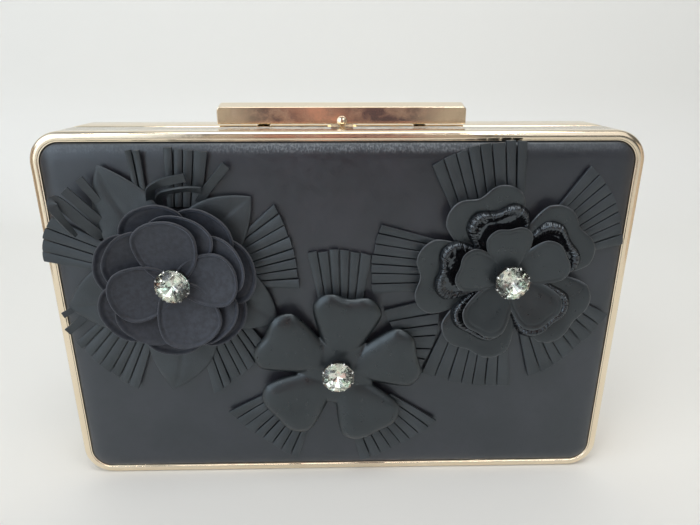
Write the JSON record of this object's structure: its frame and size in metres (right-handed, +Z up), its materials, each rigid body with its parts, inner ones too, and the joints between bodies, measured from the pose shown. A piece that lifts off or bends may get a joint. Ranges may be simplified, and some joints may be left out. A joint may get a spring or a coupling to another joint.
{
  "type": "box clutch bag",
  "caption": "Slim box clutch bag of two hinged metal-framed halves with padded leather panels, a lift clasp on top and leather flowers on the front.",
  "frame": {"origin": "centre of the whole bag's footprint, on the surface it stands on", "axes": "+Z up, +X to the viewer's right when looking at the flowered front, +Y towards the plain back"},
  "size_m": [0.182, 0.0436, 0.1263],
  "materials": {
    "frame_gold": "polished pale gold plate",
    "clasp_gold": "polished pale gold plate",
    "panel_leather": "smooth padded black leather, soft sheen",
    "petal_leather": "matte smooth black leather",
    "fringe_leather": "matte black leather with cut edges",
    "suede": "black suede with paler rolled edges",
    "patent_leather": "glossy black patent leather",
    "lining_cloth": "matte black woven lining",
    "board_card": "plain grey-brown board",
    "hinge_steel": "satin steel",
    "setting_silver": "polished silver-coloured claw cup",
    "crystal": "clear faceted crystal"
  },
  "bodies": {
    "back_half": {"back_frame": "frame_gold", "back_board": "board_card", "back_panel": "panel_leather", "back_lining": "lining_cloth", "slip_pocket": "lining_cloth", "hinge_back_leaf_left": "hinge_steel", "hinge_back_leaf_right": "hinge_steel", "hinge_pin_left": "hinge_steel", "hinge_pin_right": "hinge_steel", "clasp_bracket_left": "clasp_gold", "clasp_bracket_right": "clasp_gold", "clasp_pin": "hinge_steel", "clasp_spring": "hinge_steel"},
    "clasp_lever": {"clasp_bar": "clasp_gold", "clasp_hook": "hinge_steel", "clasp_stud": "clasp_gold"},
    "front_half": {"front_frame": "frame_gold", "front_board": "board_card", "front_panel": "panel_leather", "front_lining": "lining_cloth", "hinge_front_leaf_left": "hinge_steel", "hinge_front_leaf_right": "hinge_steel", "latch_keeper": "hinge_steel", "left_leaves": "fringe_leather", "left_petals_outer": "suede", "left_petals_middle": "suede", "left_petals_inner": "suede", "left_setting": "setting_silver", "left_stone": "crystal", "left_fan_top": "fringe_leather", "left_fan_side": "fringe_leather", "left_fan_upper": "fringe_leather", "left_fan_lower_left": "fringe_leather", "left_fan_lower_right": "fringe_leather", "left_curl_top": "fringe_leather", "left_curl_middle": "fringe_leather", "left_curl_side": "fringe_leather", "centre_petals": "petal_leather", "centre_setting": "setting_silver", "centre_stone": "crystal", "centre_fan_top": "fringe_leather", "centre_fan_lower_left": "fringe_leather", "centre_fan_lower_right": "fringe_leather", "right_petals_outer": "petal_leather", "right_petals_middle": "patent_leather", "right_petals_inner": "petal_leather", "right_setting": "setting_silver", "right_stone": "crystal", "right_fan_top": "fringe_leather", "right_fan_upper": "fringe_leather", "right_fan_left": "fringe_leather", "right_fan_lower_left": "fringe_leather", "right_fan_bottom": "fringe_leather", "right_fan_lower_right": "fringe_leather"}
  },
  "joints": [
    {"name": "case_hinge", "type": "hinge", "parent": "back_half", "child": "front_half", "pos_m": [0, 0.00565, 0.0024], "axis": [1, 0, 0], "range_deg": [0, 75]},
    {"name": "clasp_lift", "type": "hinge", "parent": "back_half", "child": "clasp_lever", "pos_m": [0.0006, 0.00905, 0.1222], "axis": [-1, 0, 0], "range_deg": [0, 30], "stiffness_Nm_per_rad": 0.04, "springref_deg": -8.59}
  ]
}
